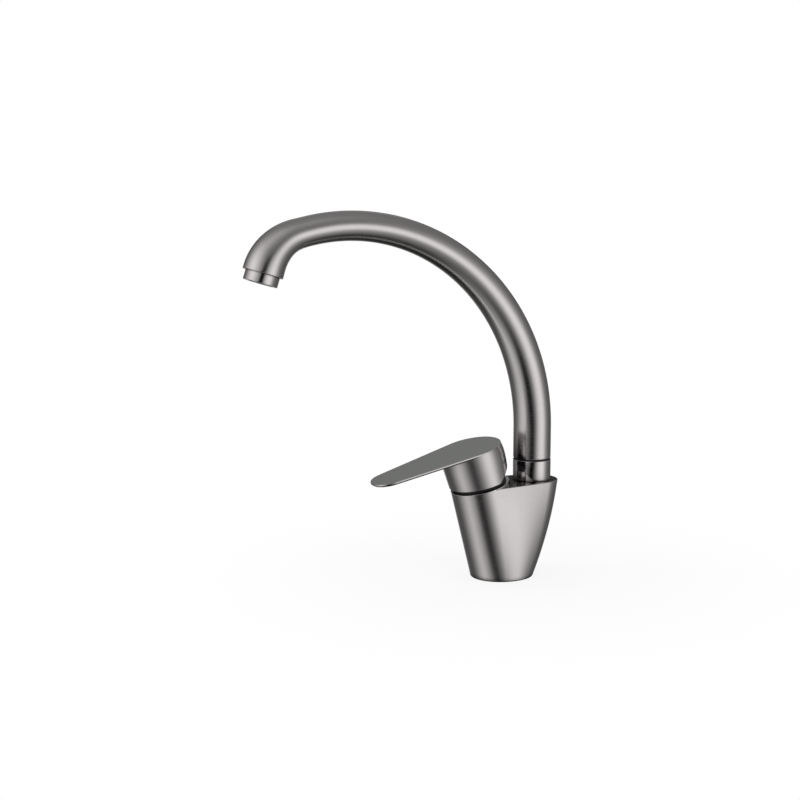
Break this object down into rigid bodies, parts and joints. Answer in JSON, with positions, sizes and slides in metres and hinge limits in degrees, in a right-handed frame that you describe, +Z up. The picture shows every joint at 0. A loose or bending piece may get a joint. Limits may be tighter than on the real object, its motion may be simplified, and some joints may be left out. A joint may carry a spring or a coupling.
{
  "type": "kitchen mixer tap",
  "caption": "Deck-mounted kitchen mixer tap: tilted cartridge body with a flat lever on top, and a tapering arched swivel spout with an aerator on the shoulder behind it.",
  "frame": {"origin": "centre of the flat underside that stands on the sink deck", "axes": "+Z up from the deck, -Y to the front where the spout and the lever point at rest, +X to the right of a person who stands in front and looks at the tap, X = 0 is the plane of symmetry"},
  "size_m": [0.0496, 0.2619, 0.2878],
  "materials": {
    "brushed_metal": "brushed nickel",
    "polished_metal": "polished nickel",
    "bare_brass": "machined",
    "bare_steel": "bare stainless steel",
    "seal_rubber": "moulded rubber",
    "cartridge_plastic": "moulded light plastic",
    "carrier_plastic": "moulded red plastic",
    "dark_plastic": "moulded black plastic",
    "ceramic": "lapped white ceramic"
  },
  "bodies": {
    "base": {"mixer_body": "brushed_metal", "base_gasket": "seal_rubber", "cartridge_base": "cartridge_plastic", "port_seals": "seal_rubber", "fixed_disc": "ceramic", "cartridge_shell": "cartridge_plastic", "stop_ring": "carrier_plastic", "cartridge_nut": "bare_brass", "cartridge_cover": "dark_plastic", "spout_collar": "polished_metal", "spout_retaining_screw": "bare_steel"},
    "spout": {"spout_tube": "brushed_metal", "spout_nipple": "bare_brass", "spout_slip_ring": "dark_plastic", "nipple_bearing_ring": "cartridge_plastic", "nipple_o_rings": "seal_rubber", "outlet_bush": "bare_brass", "aerator_housing": "polished_metal", "aerator_washer": "seal_rubber", "aerator_core": "cartridge_plastic", "aerator_screen": "bare_steel"},
    "rotor": {"cartridge_rotor": "dark_plastic", "stem_pin": "bare_steel"},
    "lever": {"handle": "brushed_metal", "stem": "bare_brass", "handle_grub_screw": "bare_steel", "index_cap": "brushed_metal"},
    "disc": {"moving_disc": "ceramic", "disc_carrier": "carrier_plastic"}
  },
  "joints": [
    {"name": "spout_swivel", "type": "hinge", "parent": "base", "child": "spout", "pos_m": [0, 0.0269, 0.091], "axis": [0, 0, 1], "continuous": true},
    {"name": "temperature_turn", "type": "hinge", "parent": "base", "child": "rotor", "pos_m": [0, -0.00173, 0], "axis": [0, -0.2402, 0.9707], "range_deg": [-50, 50]},
    {"name": "handle_lift", "type": "hinge", "parent": "rotor", "child": "lever", "pos_m": [0, -0.02095, 0.07766], "axis": [-1, 0, 0], "range_deg": [0, 22]},
    {"name": "disc_slide", "type": "slide", "parent": "rotor", "child": "disc", "axis": [0, -0.9707, -0.2402], "range_m": [0, 0.0057]}
  ],
  "couplings": [
    {"joint": "disc_slide", "follows": "handle_lift", "m_per_rad": 0.01441}
  ]
}
